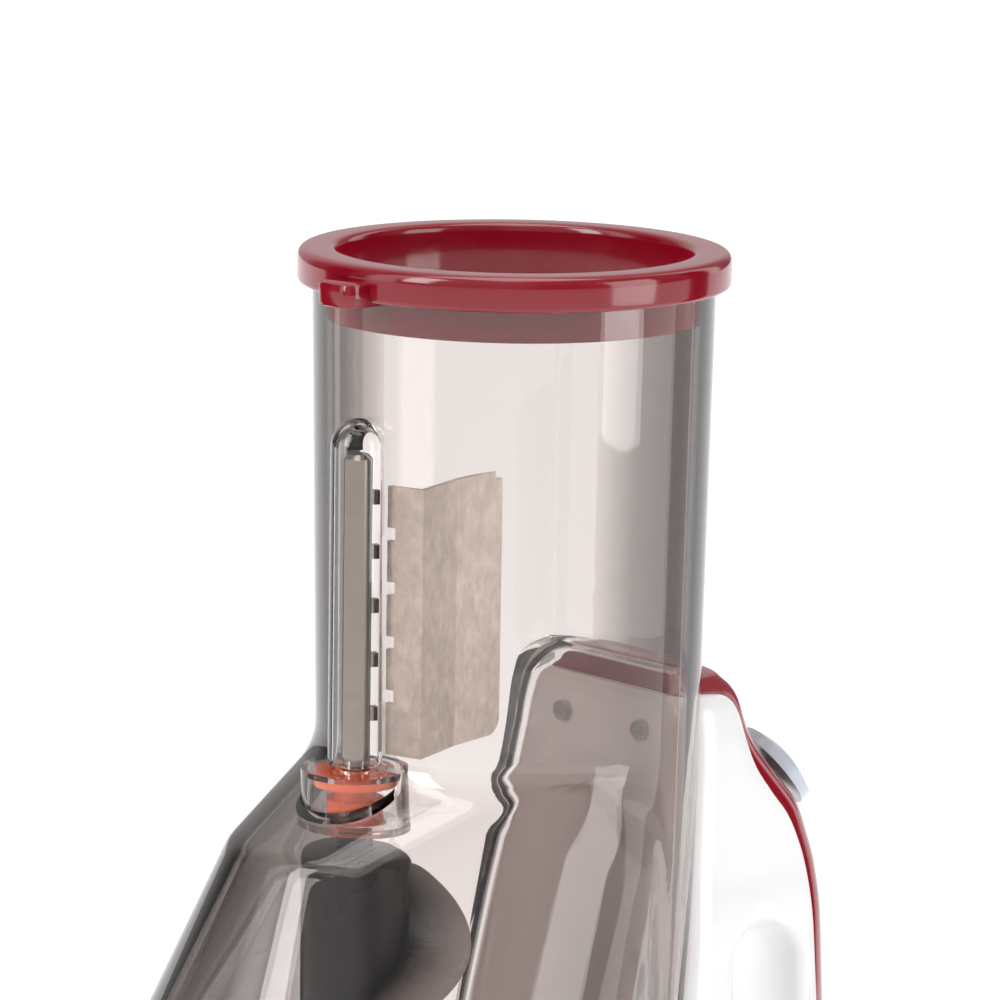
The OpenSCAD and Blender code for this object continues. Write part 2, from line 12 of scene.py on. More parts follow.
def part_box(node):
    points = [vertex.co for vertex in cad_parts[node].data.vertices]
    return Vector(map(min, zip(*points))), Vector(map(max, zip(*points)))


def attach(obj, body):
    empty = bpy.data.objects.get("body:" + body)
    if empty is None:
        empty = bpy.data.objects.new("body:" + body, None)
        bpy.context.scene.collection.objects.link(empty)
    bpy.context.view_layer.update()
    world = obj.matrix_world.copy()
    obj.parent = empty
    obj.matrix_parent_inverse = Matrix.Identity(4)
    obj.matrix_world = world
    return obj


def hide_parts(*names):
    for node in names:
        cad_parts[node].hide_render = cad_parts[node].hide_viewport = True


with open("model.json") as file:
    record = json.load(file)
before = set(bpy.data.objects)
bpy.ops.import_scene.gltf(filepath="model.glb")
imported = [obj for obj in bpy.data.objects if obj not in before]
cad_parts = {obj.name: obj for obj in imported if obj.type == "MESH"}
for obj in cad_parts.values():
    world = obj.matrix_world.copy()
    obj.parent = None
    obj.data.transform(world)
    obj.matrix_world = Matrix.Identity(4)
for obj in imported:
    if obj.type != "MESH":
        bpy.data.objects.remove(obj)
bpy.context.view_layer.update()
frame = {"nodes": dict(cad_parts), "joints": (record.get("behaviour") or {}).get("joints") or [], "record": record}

MM = 0.001
nodes = frame["nodes"]
record = frame["record"]
joints = {j["name"]: j for j in frame["joints"]}
mounts = {m["name"]: m for m in record["mounts"]}

# The auger axis and the chute axis give every place in this file
AXLE = Vector(joints["auger_spin"]["pos_m"])
MOUTH = Vector(mounts["feed_mouth"]["pos_m"])
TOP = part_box("collar_ring")[1].z
CHUTE_Y = (MOUTH.y - AXLE.y) / MM


def place(x, y, z):
    """Millimetres from the auger axis and the table, as a place in the frame."""
    return Vector((x * MM + AXLE.x, y * MM + AXLE.y, z * MM))


# ---------------------------------------------------------------- camera and studio
CAMERA_AZIMUTH = 47.0
CAMERA_PITCH = 10.8
CAMERA_ROLL = 0.9
CAMERA_REACH = 1139.0
CAMERA_ABOVE_TOP = 158.0
CHUTE_RIGHT_OF_CENTRE = 0.0022
LENS_MM = 180.0


def make_camera():
    """The long lens in front of the chute, level with its mouth; returns the two flat directions."""
    data = bpy.data.cameras.new("camera")
    data.lens = LENS_MM
    data.sensor_width = 36.0
    data.clip_start = 0.05
    data.clip_end = 50.0
    cam = bpy.data.objects.new("camera", data)
    bpy.context.scene.collection.objects.link(cam)
    a = math.radians(CAMERA_AZIMUTH)
    toward = Vector((math.sin(a), -math.cos(a), 0.0))
    aside = Vector((math.cos(a), math.sin(a), 0.0))
    spot = Vector((MOUTH.x, MOUTH.y, TOP)) + toward * CAMERA_REACH * MM
    spot.z += CAMERA_ABOVE_TOP * MM
    yaw = CHUTE_RIGHT_OF_CENTRE
    flat = -toward * math.cos(yaw) - aside * math.sin(yaw)
    right = aside * math.cos(yaw) - toward * math.sin(yaw)
    pitch = math.radians(CAMERA_PITCH)
    ahead = flat * math.cos(pitch) - Vector((0, 0, math.sin(pitch)))
    up = flat * math.sin(pitch) + Vector((0, 0, math.cos(pitch)))
    roll = math.radians(CAMERA_ROLL)
    x_axis = right * math.cos(roll) + up * math.sin(roll)
    y_axis = up * math.cos(roll) - right * math.sin(roll)
    turn = Matrix((x_axis, y_axis, -ahead)).transposed()
    cam.matrix_world = Matrix.Translation(spot) @ turn.to_4x4()
    bpy.context.scene.camera = cam
    return toward, aside


def plain_material(name, colour, rough=0.9):
    """One even colour, for the studio only."""
    m = bpy.data.materials.new(name)
    m.use_nodes = True
    p = m.node_tree.nodes["Principled BSDF"]
    p.inputs["Base Color"].default_value = (*colour, 1)
    p.inputs["Roughness"].default_value = rough
    return m


def card(name, centre, aim, width, height, material):
    """A flat studio card at centre, facing aim."""
    mesh = bpy.data.meshes.new(name)
    w, h = width / 2, height / 2
    mesh.from_pydata([(-w, -h, 0), (w, -h, 0), (w, h, 0), (-w, h, 0)], [], [(0, 1, 2, 3)])
    ob = bpy.data.objects.new(name, mesh)
    bpy.context.scene.collection.objects.link(ob)
    ob.location = centre
    ob.rotation_euler = (Vector(aim) - Vector(centre)).to_track_quat("Z", "Y").to_euler()
    mesh.materials.append(material)
    return ob


def area_light(name, centre, aim, width, height, watts):
    """A soft rectangular light at centre, facing aim."""
    data = bpy.data.lights.new(name, "AREA")
    data.shape = "RECTANGLE"
    data.size = width
    data.size_y = height
    data.energy = watts
    ob = bpy.data.objects.new(name, data)
    bpy.context.scene.collection.objects.link(ob)
    ob.location = centre
    ob.rotation_euler = (Vector(aim) - Vector(centre)).to_track_quat("-Z", "Y").to_euler()
    return ob


# Reflection strips of the studio: direction in degrees, half width, brightness
STRIPS = ((-117, 9, 1.6), (84, 10, 1.3), (-60, 26, 0.32), (150, 30, 0.35))
SKY_RISE, SKY_GAIN, SKY_LEAST = 0.4, 0.32, 0.1
DIFFUSE_SKY = 0.5


def make_world():
    """White to the eye and through clear plastic, and a dim studio with strips to reflections."""
    world = bpy.data.worlds.new("studio")
    world.use_nodes = True
    bpy.context.scene.world = world
    nt = world.node_tree
    nt.nodes.clear()

    def add(kind, **sockets):
        node = nt.nodes.new(kind)
        for key, value in sockets.items():
            node.inputs[key].default_value = value
        return node

    def light_up(colour, strength):
        node = add("ShaderNodeBackground", Strength=strength)
        if colour is not None:
            nt.links.new(colour, node.inputs["Color"])
        else:
            node.inputs["Color"].default_value = (1, 1, 1, 1)
        return node.outputs[0]

    def math_node(kind, one, two):
        node = nt.nodes.new("ShaderNodeMath")
        node.operation = kind
        for socket, value in zip(node.inputs, (one, two)):
            if isinstance(value, (int, float)):
                socket.default_value = value
            else:
                nt.links.new(value, socket)
        return node.outputs[0]

    coords = nt.nodes.new("ShaderNodeTexCoord")
    split = nt.nodes.new("ShaderNodeSeparateXYZ")
    nt.links.new(coords.outputs["Generated"], split.inputs[0])
    flat = nt.nodes.new("ShaderNodeCombineXYZ")
    nt.links.new(split.outputs["X"], flat.inputs["X"])
    nt.links.new(split.outputs["Y"], flat.inputs["Y"])
    level = nt.nodes.new("ShaderNodeVectorMath")
    level.operation = "NORMALIZE"
    nt.links.new(flat.outputs[0], level.inputs[0])
    total = math_node("MULTIPLY", math_node("ADD", split.outputs["Z"], SKY_RISE), SKY_GAIN)
    total = math_node("MAXIMUM", total, SKY_LEAST)
    for direction, half, strength in STRIPS:
        a = math.radians(direction)
        dot = nt.nodes.new("ShaderNodeVectorMath")
        dot.operation = "DOT_PRODUCT"
        dot.inputs[1].default_value = (math.cos(a), math.sin(a), 0)
        nt.links.new(level.outputs[0], dot.inputs[0])
        band = nt.nodes.new("ShaderNodeMapRange")
        band.interpolation_type = "SMOOTHSTEP"
        band.inputs["From Min"].default_value = math.cos(math.radians(half * 1.3))
        band.inputs["From Max"].default_value = math.cos(math.radians(half * 0.6))
        band.inputs["To Max"].default_value = strength
        nt.links.new(dot.outputs["Value"], band.inputs["Value"])
        total = math_node("ADD", total, band.outputs[0])
    rays = nt.nodes.new("ShaderNodeLightPath")
    out = nt.nodes.new("ShaderNodeOutputWorld")
    soft = nt.nodes.new("ShaderNodeMixShader")
    nt.links.new(rays.outputs["Is Diffuse Ray"], soft.inputs[0])
    nt.links.new(light_up(None, 1.0), soft.inputs[1])
    nt.links.new(light_up(None, DIFFUSE_SKY), soft.inputs[2])
    final = nt.nodes.new("ShaderNodeMixShader")
    nt.links.new(rays.outputs["Is Glossy Ray"], final.inputs[0])
    nt.links.new(soft.outputs[0], final.inputs[1])
    nt.links.new(light_up(total, 1.0), final.inputs[2])
    nt.links.new(final.outputs[0], out.inputs[0])


def shade_card(name, centre, aim, width, height, stops):
    """A card whose brightness runs across it, seen only through clear plastic."""
    m = bpy.data.materials.new(name)
    m.use_nodes = True
    nt = m.node_tree
    nt.nodes.clear()
    out = nt.nodes.new("ShaderNodeOutputMaterial")
    glow = nt.nodes.new("ShaderNodeEmission")
    coords = nt.nodes.new("ShaderNodeTexCoord")
    split = nt.nodes.new("ShaderNodeSeparateXYZ")
    across = nt.nodes.new("ShaderNodeMapRange")
    across.inputs["From Min"].default_value = -width / 2
    across.inputs["From Max"].default_value = width / 2
    scale = nt.nodes.new("ShaderNodeValToRGB")
    steps = scale.color_ramp.elements
    for k, (at, value) in enumerate(stops):
        stop = steps[k] if k < 2 else steps.new(at)
        stop.position = at
        stop.color = (value, value * 0.97, value * 0.96, 1)
    nt.links.new(coords.outputs["Object"], split.inputs[0])
    nt.links.new(split.outputs["X"], across.inputs["Value"])
    nt.links.new(across.outputs[0], scale.inputs[0])
    nt.links.new(scale.outputs[0], glow.inputs["Color"])
    nt.links.new(glow.outputs[0], out.inputs[0])
    ob = card(name, centre, aim, width, height, m)
    ob.visible_camera = False
    ob.visible_diffuse = False
    ob.visible_glossy = False
    ob.visible_shadow = False
    return ob


# Metres beside the juicer, toward the camera and above, then width, height and watts
LIGHTS = (
    ("key", -0.9, 0.7, 0.7, 0.35, 1.0, 8),
    ("fill", 1.1, 0.5, 0.3, 0.6, 1.0, 6),
    ("top", 0, 0, 1.3, 0.9, 0.9, 7),
)
FLOOR_SIZE, FLOOR_GLOW = 16, 0.78
# Cards that darken the tube's edges: place, size, and brightness across each
SHADE_BEHIND, SHADE_APART, SHADE_SIZE = 0.42, 0.30, (0.50, 0.62)
SHADE_RIGHT = ((0.0, 1.0), (0.02, 0.7), (0.045, 0.40), (0.09, 0.24), (0.16, 0.12), (0.5, 0.03))
SHADE_LEFT = ((0.35, 0.03), (0.75, 0.10), (0.90, 0.32), (0.955, 0.45), (0.985, 0.75), (1.0, 1.0))


def make_studio(toward, aside):
    """Floor, lights, the cards behind clear plastic and the black flags at the sides."""
    make_world()
    pale = plain_material("floor", (0.6, 0.6, 0.6))
    glow = pale.node_tree.nodes["Principled BSDF"]
    glow.inputs["Emission Color"].default_value = (1, 1, 1, 1)
    glow.inputs["Emission Strength"].default_value = FLOOR_GLOW
    card("floor", (0, 0, -0.0005), (0, 0, 1), FLOOR_SIZE, FLOOR_SIZE, pale)
    black = plain_material("flag", (0.004, 0.004, 0.004), 1.0)
    middle = place(0, 30, 330)
    up = Vector((0, 0, 1))
    for name, beside, before, above, width, height, watts in LIGHTS:
        spot = middle + aside * beside + toward * before + up * above
        area_light(name, spot, middle, width, height, watts)
    behind = middle - toward * SHADE_BEHIND - up * 0.02
    right = behind + aside * SHADE_APART
    left = behind - aside * SHADE_APART
    shade_card("shade_right", right, right + toward, *SHADE_SIZE, SHADE_RIGHT)
    shade_card("shade_left", left, left + toward, *SHADE_SIZE, SHADE_LEFT)
    flags = [card("flag_side", middle + aside * 0.75 - toward * 0.3, middle, 0.25, 1.2, black),
             card("flag_far", middle - aside * 0.75 - toward * 0.2, middle, 0.3, 1.2, black)]
    for flag in flags:
        flag.visible_camera = False
        flag.visible_diffuse = False
        flag.visible_shadow = False
        flag.visible_transmission = False


bpy.context.scene.view_settings.view_transform = "Standard"
make_studio(*make_camera())


# ---------------------------------------------------------------- materials
def new_material(name):
    """A material, its node tree and its shader."""
    m = bpy.data.materials.new(name)
    m.use_nodes = True
    nt = m.node_tree
    return m, nt, nt.nodes["Principled BSDF"]


def noise(nt, scale, detail=3.0, stretch=(1, 1, 1), rough=0.5):
    """A noise pattern in the object's own metres."""
    coords = nt.nodes.new("ShaderNodeTexCoord")
    mapping = nt.nodes.new("ShaderNodeMapping")
    mapping.inputs["Scale"].default_value = stretch
    tex = nt.nodes.new("ShaderNodeTexNoise")
    tex.inputs["Scale"].default_value = scale
    tex.inputs["Detail"].default_value = detail
    tex.inputs["Roughness"].default_value = rough
    nt.links.new(coords.outputs["Object"], mapping.inputs[0])
    nt.links.new(mapping.outputs[0], tex.inputs["Vector"])
    return tex.outputs["Fac"]


def ramp(nt, value, low, high, start=0.3, end=0.7):
    """Colour that runs from low to high as value goes from start to end."""
    node = nt.nodes.new("ShaderNodeValToRGB")
    node.color_ramp.elements[0].position = start
    node.color_ramp.elements[0].color = (*low, 1) if len(low) == 3 else low
    node.color_ramp.elements[1].position = end
    node.color_ramp.elements[1].color = (*high, 1) if len(high) == 3 else high
    nt.links.new(value, node.inputs[0])
    return node.outputs[0]


def grey(v):
    return (v, v, v)


def bump(nt, p, height, strength, distance):
    """Raises the shader's surface by a pattern."""
    node = nt.nodes.new("ShaderNodeBump")
    node.inputs["Strength"].default_value = strength
    node.inputs["Distance"].default_value = distance
    nt.links.new(height, node.inputs["Height"])
    nt.links.new(node.outputs[0], p.inputs["Normal"])


def plastic(name, colour, rough, grain=900.0, depth=0.00002, coat=0.0, drift=0.06):
    """Moulded plastic: a little colour drift, uneven gloss and a fine moulded grain."""
    m, nt, p = new_material(name)
    low = tuple(c * (1 - drift) for c in colour)
    high = tuple(min(1.0, c * (1 + drift)) for c in colour)
    nt.links.new(ramp(nt, noise(nt, 14, 4), low, high), p.inputs["Base Color"])
    nt.links.new(ramp(nt, noise(nt, 60, 5), grey(rough * 0.8), grey(rough * 1.25)), p.inputs["Roughness"])
    bump(nt, p, noise(nt, grain, 2), 0.35, depth)
    p.inputs["Coat Weight"].default_value = coat
    p.inputs["Coat Roughness"].default_value = 0.04
    return m


def metal(name, colour, rough, stretch, scale=260.0, depth=0.00002, drift=0.12, fleck=0.0):
    """Metal with brush or turning marks that run along the axis stretch keeps small."""
    m, nt, p = new_material(name)
    p.inputs["Metallic"].default_value = 1.0
    marks = noise(nt, scale, 4, stretch, 0.6)
    low = tuple(c * (1 - drift) for c in colour)
    high = tuple(min(1.0, c * (1 + drift)) for c in colour)
    tone = ramp(nt, marks, low, high)
    if fleck:
        mix = nt.nodes.new("ShaderNodeMixRGB")
        mix.blend_type = "MULTIPLY"
        mix.inputs["Fac"].default_value = 1.0
        nt.links.new(tone, mix.inputs["Color1"])
        nt.links.new(ramp(nt, noise(nt, 240, 8, (1, 1, 0.8), 0.75), grey(1 - fleck), grey(1.0), 0.38, 0.6),
                     mix.inputs["Color2"])
        tone = mix.outputs[0]
    nt.links.new(tone, p.inputs["Base Color"])
    nt.links.new(ramp(nt, marks, grey(rough * 0.75), grey(rough * 1.3)), p.inputs["Roughness"])
    bump(nt, p, marks, 0.4, depth)
    p.inputs["Anisotropic"].default_value = 0.5
    return m


def smoke(name, tint, depth_colour, density, rough=0.015, lamp_tint=(0.9, 0.87, 0.86)):
    """Clear tinted plastic: real refraction, tint by depth, and lamps shine through it."""
    m, nt, p = new_material(name)
    out = nt.nodes["Material Output"]
    p.inputs["Base Color"].default_value = (*tint, 1)
    p.inputs["Transmission Weight"].default_value = 1.0
    p.inputs["IOR"].default_value = 1.5
    wear = ramp(nt, noise(nt, 35, 5), grey(rough * 0.6), grey(rough * 1.6))
    nt.links.new(wear, p.inputs["Roughness"])
    bump(nt, p, noise(nt, 22, 2), 0.25, 0.00012)
    see = nt.nodes.new("ShaderNodeBsdfTransparent")
    see.inputs["Color"].default_value = (*lamp_tint, 1)
    mix = nt.nodes.new("ShaderNodeMixShader")
    rays = nt.nodes.new("ShaderNodeLightPath")
    nt.links.new(rays.outputs["Is Shadow Ray"], mix.inputs[0])
    nt.links.new(p.outputs[0], mix.inputs[1])
    nt.links.new(see.outputs[0], mix.inputs[2])
    nt.links.new(mix.outputs[0], out.inputs["Surface"])
    soak = nt.nodes.new("ShaderNodeVolumeAbsorption")
    soak.inputs["Color"].default_value = (*depth_colour, 1)
    soak.inputs["Density"].default_value = density
    nt.links.new(soak.outputs[0], out.inputs["Volume"])
    return m


def auger_material():
    """Dark resin with a painted highlight: paler towards the tips of its threads, standing in for the light that
    the threads and the feed wing catch.
    """
    m = plastic("auger_resin", (0.05, 0.046, 0.045), 0.3, 700, 0.00002)
    nt = m.node_tree
    p = nt.nodes["Principled BSDF"]
    coords = nt.nodes.new("ShaderNodeTexCoord")
    off_axis = nt.nodes.new("ShaderNodeVectorMath")
    off_axis.operation = "SUBTRACT"
    off_axis.inputs[1].default_value = tuple(place(0, 0, 0))
    flat = nt.nodes.new("ShaderNodeVectorMath")
    flat.operation = "MULTIPLY"
    flat.inputs[1].default_value = (1, 1, 0)
    length = nt.nodes.new("ShaderNodeVectorMath")
    length.operation = "LENGTH"
    spread = nt.nodes.new("ShaderNodeMapRange")
    spread.inputs["From Min"].default_value = THREAD_ROOT * MM
    spread.inputs["From Max"].default_value = THREAD_TIP * MM
    nt.links.new(coords.outputs["Object"], off_axis.inputs[0])
    nt.links.new(off_axis.outputs[0], flat.inputs[0])
    nt.links.new(flat.outputs[0], length.inputs[0])
    nt.links.new(length.outputs["Value"], spread.inputs["Value"])
    # painted highlight: colour runs from near black at the thread root to pale grey at the thread tips, standing
    # in for light on the threads and wing
    nt.links.new(ramp(nt, spread.outputs[0], (0.008, 0.008, 0.009), (0.30, 0.27, 0.26), 0.0, 1.0),
                 p.inputs["Base Color"])
    p.inputs["Specular IOR Level"].default_value = 0.3
    return m


THREAD_ROOT, THREAD_TIP = 13.5, 27.0
MAT = {
    "collar": plastic("collar_red", (0.2, 0.002, 0.01), 0.13, 500, 0.00001, 0.3),
    "cover": plastic("cover_red", (0.22, 0.003, 0.010), 0.16, 500, 0.00001, 0.3),
    "white": plastic("base_white", (0.78, 0.78, 0.785), 0.16, 700, 0.00001, 0.3, 0.015),
    "dark": plastic("dark_plastic", (0.028, 0.027, 0.03), 0.42, 1400, 0.00003),
    "grey": plastic("grey_plastic", (0.36, 0.36, 0.38), 0.45, 1200, 0.00003),
    "nylon": plastic("gear_nylon", (0.78, 0.76, 0.68), 0.4, 900, 0.00002),
    "rubber": plastic("foot_rubber", (0.03, 0.03, 0.032), 0.75, 1600, 0.00004),
    "silicone": plastic("silicone", (0.5, 0.5, 0.52), 0.5, 1200, 0.00002),
    "auger": auger_material(),
    "orange": plastic("bush_orange", (0.8, 0.12, 0.015), 0.25, 800, 0.00001, 0.2),
    "dial": plastic("dial_silver", (0.5, 0.55, 0.62), 0.2, 900, 0.00001, 0.5),
    "screw": metal("screw_steel", (0.62, 0.62, 0.64), 0.3, (1, 1, 1)),
    "shaft": metal("shaft_steel", (0.27, 0.225, 0.19), 0.13, (1, 1, 14), 160),
    "plate": metal("plate_steel", (0.76, 0.67, 0.6), 0.44, (1, 1, 0.5), 700, 0.00003, 0.1, 0.22),
    "mesh": metal("mesh_steel", (0.55, 0.55, 0.56), 0.35, (1, 1, 1), 1400, 0.0001, 0.5),
    "motor": metal("motor_steel", (0.3, 0.31, 0.33), 0.5, (1, 1, 30), 90),
    "smoke": smoke("smoke_clear", (1, 1, 1), (0.77, 0.71, 0.685), 235.0),
    "clear": smoke("clear", (1, 1, 1), (0.74, 0.63, 0.6), 190.0, 0.02, (0.75, 0.66, 0.64)),
}


def board_material():
    """A circuit board: green mask with fine copper tracks."""
    m, nt, p = new_material("board_green")
    coords = nt.nodes.new("ShaderNodeTexCoord")
    bricks = nt.nodes.new("ShaderNodeTexBrick")
    bricks.inputs["Scale"].default_value = 240
    bricks.inputs["Color1"].default_value = (0.01, 0.12, 0.04, 1)
    bricks.inputs["Color2"].default_value = (0.02, 0.17, 0.06, 1)
    bricks.inputs["Mortar"].default_value = (0.35, 0.28, 0.08, 1)
    bricks.inputs["Mortar Size"].default_value = 0.01
    nt.links.new(coords.outputs["Object"], bricks.inputs["Vector"])
    nt.links.new(bricks.outputs["Color"], p.inputs["Base Color"])
    p.inputs["Roughness"].default_value = 0.4
    return m


MAT["board"] = board_material()

BY_SLOT = {
    "foot_rubber": "rubber", "screw_steel": "screw", "base_white": "white", "cover_red": "cover",
    "dark_plastic": "dark", "grey_plastic": "grey", "motor_steel": "motor", "shaft_steel": "shaft",
    "gear_nylon": "nylon", "board_green": "board", "dial_silver": "dial", "smoke_clear": "smoke",
    "clear": "clear", "silicone": "silicone", "mesh_steel": "mesh", "auger_resin": "auger",
    "bush_orange": "orange", "plate_steel": "plate", "collar_red": "collar",
}


def smooth_by_angle(ob, degrees):
    """Smooth shading, with edges sharper than this angle left crisp."""
    mesh = ob.data
    for f in mesh.polygons:
        f.use_smooth = True
    mesh.set_sharp_from_angle(angle=math.radians(degrees))


def dress_nodes():
    """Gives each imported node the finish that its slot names."""
    for part in record["subparts"]:
        ob = nodes[part["node"]]
        material = MAT[BY_SLOT[part["material_slot"]]]
        ob.data.materials.clear()
        ob.data.materials.append(material)


dress_nodes()


# ---------------------------------------------------------------- mesh helpers
def new_object(name, verts, faces, body, *stand_for):
    """A mesh piece in millimetres about the auger axis, riding on a body in place of CAD nodes."""
    mesh = bpy.data.meshes.new(name)
    mesh.from_pydata([place(*v) for v in verts], [], faces)
    ob = bpy.data.objects.new(name, mesh)
    bpy.context.scene.collection.objects.link(ob)
    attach(ob, body)
    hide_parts(*stand_for)
    return ob


def loft(rings):
    """Quads between rings of equal length, with the two ends closed."""
    n = len(rings[0])
    verts = [tuple(p) for ring in rings for p in ring]
    faces = []
    for k in range(len(rings) - 1):
        for i in range(n):
            j = (i + 1) % n
            faces.append((k * n + i, k * n + j, (k + 1) * n + j, (k + 1) * n + i))
    last = (len(rings) - 1) * n
    faces.append(tuple(range(n - 1, -1, -1)))
    faces.append(tuple(range(last, last + n)))
    return verts, faces


def lathe(profile, x, y, steps=128):
    """A closed (r, z) outline turned about the vertical line at x, y."""
    verts, faces = [], []
    n = len(profile)
    for k in range(steps):
        a = 2 * math.pi * k / steps
        verts += [(x + r * math.cos(a), y + r * math.sin(a), z) for r, z in profile]
        for i in range(n):
            j = (i + 1) % n
            m = (k + 1) % steps
            faces.append((k * n + i, m * n + i, m * n + j, k * n + j))
    return verts, faces


def rounded(points, radius, steps=5):
    """A closed 2D outline with each corner rounded; radius is one value or one per corner."""
    out = []
    n = len(points)
    for i in range(n):
        p, a, b = Vector(points[i]), Vector(points[i - 1]), Vector(points[(i + 1) % n])
        r = radius[i] if isinstance(radius, (list, tuple)) else radius
        u, v = (a - p).normalized(), (b - p).normalized()
        if r <= 0:
            out.append(tuple(p))
            continue
        reach = min(r, 0.49 * (a - p).length, 0.49 * (b - p).length)
        for k in range(steps + 1):
            t = k / steps
            q = (p + u * reach) * (1 - t) ** 2 + p * 2 * t * (1 - t) + (p + v * reach) * t * t
            out.append(tuple(q))
    return out


def cut(ob, other, how="DIFFERENCE"):
    """Applies an exact boolean to ob, and removes the tool."""
    mod = ob.modifiers.new("cut", "BOOLEAN")
    mod.operation = how
    mod.solver = "EXACT"
    mod.object = other
    deps = bpy.context.evaluated_depsgraph_get()
    mesh = bpy.data.meshes.new_from_object(ob.evaluated_get(deps))
    ob.modifiers.remove(mod)
    old = ob.data
    ob.data = mesh
    mesh.name = ob.name
    bpy.data.meshes.remove(old)
    bpy.data.objects.remove(other)


def tool(verts, faces):
    """A throwaway solid for cut()."""
    mesh = bpy.data.meshes.new("tool")
    mesh.from_pydata([place(*v) for v in verts], [], faces)
    bm = bmesh.new()
    bm.from_mesh(mesh)
    bmesh.ops.recalc_face_normals(bm, faces=bm.faces)
    bm.to_mesh(mesh)
    bm.free()
    ob = bpy.data.objects.new("tool", mesh)
    bpy.context.scene.collection.objects.link(ob)
    return ob


def rod(x, y, r, z0, z1, steps=96):
    """An upright cylinder."""
    ring = [(math.cos(2 * math.pi * k / steps), math.sin(2 * math.pi * k / steps)) for k in range(steps)]
    return loft([[(x + r * c, y + r * s, z) for c, s in ring] for z in (z0, z1)])


def finish_mesh(ob, angle, material):
    """Welds the booleans' seams, then sets the finish and the shading."""
    mesh = ob.data
    bm = bmesh.new()
    bm.from_mesh(mesh)
    bmesh.ops.remove_doubles(bm, verts=bm.verts, dist=2e-6)
    bmesh.ops.dissolve_degenerate(bm, edges=bm.edges, dist=2e-6)
    bmesh.ops.recalc_face_normals(bm, faces=bm.faces)
    bm.to_mesh(mesh)
    bm.free()
    mesh.materials.clear()
    mesh.materials.append(material)
    smooth_by_angle(ob, angle)


# ---------------------------------------------------------------- tower and its cover
TOWER = (  # height, half width, front, back
    (0, 42, 67, 135), (126, 42, 67, 135), (250, 40, 67, 135), (289, 36, 73.5, 133),
    (300, 34, 75, 130.6), (313, 32.2, 77, 125.5), (328, 30.2, 79.5, 111.5), (333, 29.6, 80, 108.4),
    (341, 27.6, 81, 106), (344.5, 23.5, 83, 104), (346, 18, 86, 101),
)
TOWER_TOP = 346.0
BACK_R = 51.0
RING_POINTS = 144
EDGE_SOFTEN = 4.5
CAP_START, CAP_FADE = 322, 16
FINE_ABOVE = 295


def tower_profile(z):
    """Half width, front and back at height z, blended so the levels leave no crease."""
    zs = [row[0] for row in TOWER]
    spread = 2.0 if z > FINE_ABOVE else 5.0
    taps = np.linspace(-1.5, 1.5, 7) * spread
    weights = np.exp(-(taps / spread) ** 2)
    at = np.clip(z + taps, 0, TOWER_TOP)
    return [float((np.interp(at, zs, [row[i] for row in TOWER]) * weights).sum() / weights.sum())
            for i in (1, 2, 3)]


def even_ring(points, count, soften):
    """Resamples a closed outline evenly and rounds its corners."""
    p = np.array(points, float)
    closed = np.vstack([p, p[:1]])
    length = np.concatenate([[0], np.cumsum(np.hypot(*np.diff(closed, axis=0).T))])
    fine = 4 * count
    s = np.linspace(0, length[-1], fine, endpoint=False)
    ring = np.stack([np.interp(s, length, closed[:, i]) for i in (0, 1)], 1)
    step = length[-1] / fine
    reach = int(3 * soften / step)
    taps = np.arange(-reach, reach + 1)
    w = np.exp(-0.5 * (taps * step / soften) ** 2)
    w /= w.sum()
    out = sum(wi * np.roll(ring, -t, axis=0) for wi, t in zip(w, taps))
    return out[::4]


def tower_ring(z, e):
    """The tower's plan at height z, grown by e; near the top the growth is upward as well."""
    down = e * min(max((z - CAP_START) / CAP_FADE, 0), 1)
    w, front, back = tower_profile(z - down)
    w, front, back, r = w + e, front - e, back + e, BACK_R + e
    cy = back - r
    half = min(w, r * 0.9999)
    start = math.acos(half / r)
    arc = np.linspace(start, math.pi - start, 49)
    outline = [(0, front), (w, front)] + [(r * math.cos(a), cy + r * math.sin(a)) for a in arc]
    outline += [(-w, front)]
    return [(x, y) for x, y in even_ring(outline, RING_POINTS, EDGE_SOFTEN)]


def tower_loft(e, z0):
    """The whole tower, grown by e, from z0 up to its softly closed top."""
    top = TOWER_TOP + e
    levels = list(np.arange(z0, 280, 8.0)) + list(np.arange(280, 330, 2.5))
    levels += list(np.arange(330, top - 1.6, 1.5)) + [top - 1.0, top - 0.5]
    rings = []
    for z in levels:
        rings.append([(x, y, z) for x, y in tower_ring(z, e)])
    last = rings[-1]
    mid = np.mean([(x, y) for x, y, _ in last], axis=0)
    for scale, drop in ((0.95, 0.25), (0.86, 0.1), (0.6, 0.0)):
        rings.append([(mid[0] + (x - mid[0]) * scale, mid[1] + (y - mid[1]) * scale, top - drop)
                      for x, y, _ in last])
    return loft(rings)


def smooth_line(points, per=8):
    """A Catmull-Rom curve through the points."""
    p = [np.array(q, float) for q in points]
    p = [2 * p[0] - p[1]] + p + [2 * p[-1] - p[-2]]
    out = []
    for a, b, c, d in zip(p, p[1:], p[2:], p[3:]):
        for k in range(per):
            t = k / per
            out.append(tuple(0.5 * (2 * b + (c - a) * t + (2 * a - 5 * b + 4 * c - d) * t * t
                                    + (3 * b - a - 3 * c + d) * t ** 3)))
    out.append(tuple(p[-2]))
    return out


# Joint line between the white tower and the red cover, from low at the back to the top
JOINT_LINE = smooth_line(((115, 250), (115, 274), (114.8, 289), (113.4, 301), (109.6, 311),
                          (104.3, 318), (99.8, 324.5), (97.6, 331), (96.2, 337.5), (93.6, 341.8),
                          (89, 342.9), (84, 343)))


def joint_prism(shift):
    """Everything in front of and below the joint line."""
    line = [(y + shift, z + shift) for y, z in JOINT_LINE]
    outline = [(-90, -5), (150, -5), (150, 24 + shift), (115 + shift, 24 + shift)] + line
    outline += [(70, 343 + shift), (70, 360), (-90, 360)]
    return loft([[(x, y, z) for y, z in outline] for x in (-90, 90)])


